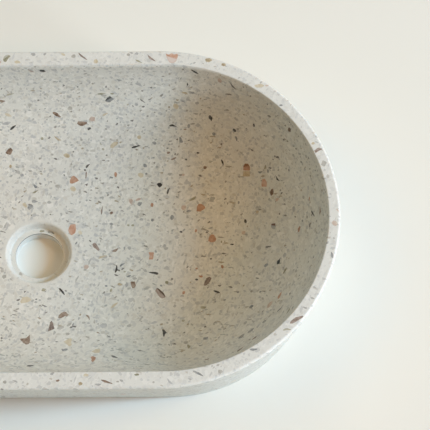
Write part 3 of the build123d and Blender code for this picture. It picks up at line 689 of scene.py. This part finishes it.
# A chip's markings. Its own places are in millimetres, so its noise is in waves per millimetre. An amount is
# how far a marking moves the tone, as a share of the way from dark to light.
PATCH_SCALE, PATCH_AMOUNT = 0.28, 1.6
MOTTLE_SCALE, MOTTLE_AMOUNT = 0.9, 0.9
BAND_STRETCH, BAND_AMOUNT, FAINT_BAND_AMOUNT = (0.10, 1.1, 1.1), 2.4, 0.5
BANDED = ("mauve", "slate", "brown", "olive")
TINT_FROM, TINT_SPREAD = 0.2, 0.6

# The blur of a second stone's start in millimetres, and the shares of the way out where a chip darkens
SECOND_START = (-0.5, 0.5)
DARKER_EDGE, DARKER_SHARE = (0.72, 1.05), 0.35

CHIP_ROUGHNESS, SLEEVE_ROUGHNESS, TABLE_ROUGHNESS, ROUGHNESS_SPREAD = 0.28, 0.30, 0.6, 0.16
SLEEVE_TONES = ((0.70, 0.71, 0.68), (0.78, 0.79, 0.76))
TABLE_TONES = ((0.855, 0.851, 0.795), (0.865, 0.861, 0.805))


def chip_material(kind):
    if kind in made_materials:
        return made_materials[kind]
    g = Graph("stone_" + kind)
    dark, middle, light = TONES[kind]
    local = g.attribute("local", "Vector")
    patch = g.noise(local, PATCH_SCALE, detail=1.0).outputs["Fac"]
    mottle = g.noise(local, MOTTLE_SCALE, detail=4.0, roughness=0.65).outputs["Fac"]
    stretched = g.node("ShaderNodeMapping", {"vector_type": "POINT"}, Vector=local, Scale=BAND_STRETCH)
    bands = g.noise(stretched.outputs[0], scale=1.0, detail=3.0, roughness=0.6).outputs["Fac"]
    banding = BAND_AMOUNT if kind in BANDED else FAINT_BAND_AMOUNT
    level = g.line(g.attribute("tint", "Fac"), TINT_SPREAD, TINT_FROM)
    for marking, amount in ((patch, PATCH_AMOUNT), (mottle, MOTTLE_AMOUNT), (bands, banding)):
        level = g.math("ADD", level, g.math("MULTIPLY", g.math("SUBTRACT", marking, 0.5), amount))
    color = g.ramp(level, [(0.0, dark), (0.5, middle), (1.0, light)])
    past = g.step(g.attribute("past", "Fac"), *SECOND_START)
    color = g.mix(past, color, g.attribute("second", "Vector"))
    edge = g.step(g.attribute("edge", "Fac"), *DARKER_EDGE)
    darker = tuple((a + b) / 2 for a, b in zip(dark, middle))
    color = g.mix(g.math("MULTIPLY", edge, DARKER_SHARE), color, darker)
    g.bump(mottle, strength=0.15)
    g.surface(color, g.line(mottle, ROUGHNESS_SPREAD, CHIP_ROUGHNESS), specular=0.4)
    made_materials[kind] = g.material
    return g.material


def sleeve_material():
    g = Graph("drain_sleeve")
    place = g.node("ShaderNodeTexCoord").outputs["Object"]
    cloud = g.noise(place, scale=180.0, detail=3.0).outputs["Fac"]
    g.bump(g.noise(place, scale=900.0, detail=2.0).outputs["Fac"], strength=0.2)
    g.surface(g.tones(cloud, *SLEEVE_TONES), g.line(cloud, ROUGHNESS_SPREAD, SLEEVE_ROUGHNESS))
    return g.material


def table_material():
    g = Graph("table")
    place = g.node("ShaderNodeTexCoord").outputs["Object"]
    cloud = g.noise(place, scale=3.0, detail=2.0).outputs["Fac"]
    g.surface(g.tones(cloud, *TABLE_TONES), TABLE_ROUGHNESS, specular=0.25)
    return g.material


casting = make_casting()
casting.data.materials.append(terrazzo_material())
for name, node in sorted(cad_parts.items()):
    if "_chips_" in name:
        make_chips(name, node)
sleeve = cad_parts["drain_sleeve"]
sleeve.data.materials.clear()
sleeve.data.materials.append(sleeve_material())


# Table: half its side in metres
TABLE_REACH = 6.0


def make_table():
    mesh = bpy.data.meshes.new("table")
    corners = [(x * TABLE_REACH, y * TABLE_REACH, 0) for x, y in ((-1, -1), (1, -1), (1, 1), (-1, 1))]
    mesh.from_pydata(corners, [], [(0, 1, 2, 3)])
    table = bpy.data.objects.new("table", mesh)
    scene.collection.objects.link(table)
    mesh.materials.append(table_material())


# Light: soft round windows at one distance from their aim, in metres, each with its bearing from +X towards
# +Y and its elevation in degrees, its width in metres, its tone and its power in watts
WINDOW_DISTANCE, WINDOW_AIM = 8.0, Vector((0.1, 0, 0.05))
NARROW, WIDE = 1.1, 3.8
DAYLIGHT, SKY = (0.87, 0.96, 1.0), (0.70, 0.80, 1.0)
DEEP_SKY, TEAL = (0.45, 0.77, 1.0), (0.05, 0.69, 1.0)
CREAM, STRAW, BRICK = (1.0, 0.95, 0.89), (1.0, 0.79, 0.42), (1.0, 0.49, 0.31)
AMBER, ORANGE = (1.0, 0.41, 0.0), (1.0, 0.50, 0.0)
WINDOWS = (
    (-35, 15, NARROW, DAYLIGHT, 158),
    (5, 21, NARROW, AMBER, 114),
    (-5, 27, NARROW, SKY, 242),
    (-5, 33, NARROW, DEEP_SKY, 202),
    (-5, 39, NARROW, DEEP_SKY, 162),
    (5, 52, NARROW, STRAW, 56),
    (-35, 45, NARROW, BRICK, 55),
    (90, 20, WIDE, CREAM, 45),
    (90, 50, WIDE, CREAM, 36),
    (180, 60, WIDE, ORANGE, 81),
    (150, 15, WIDE, TEAL, 57),
)
SURROUND_TONE, SURROUND_STRENGTH = (0.80, 0.72, 0.60), 0.25


def make_light():
    world = bpy.data.worlds.new("world")
    scene.world = world
    world.use_nodes = True
    background = world.node_tree.nodes["Background"]
    background.inputs["Color"].default_value = (*SURROUND_TONE, 1)
    background.inputs["Strength"].default_value = SURROUND_STRENGTH
    for number, (bearing, elevation, width, tone, power) in enumerate(WINDOWS):
        data = bpy.data.lights.new(f"window_{number}", "AREA")
        data.shape = "DISK"
        data.size = width
        data.energy = power
        data.color = tone
        lamp = bpy.data.objects.new(data.name, data)
        a, e = radians(bearing), radians(elevation)
        direction = Vector((cos(a) * cos(e), sin(a) * cos(e), sin(e)))
        lamp.location = WINDOW_AIM + direction * WINDOW_DISTANCE
        lamp.rotation_mode = "QUATERNION"
        lamp.rotation_quaternion = direction.to_track_quat("Z", "Y")
        scene.collection.objects.link(lamp)


make_table()
make_light()
scene.view_settings.view_transform = "Standard"
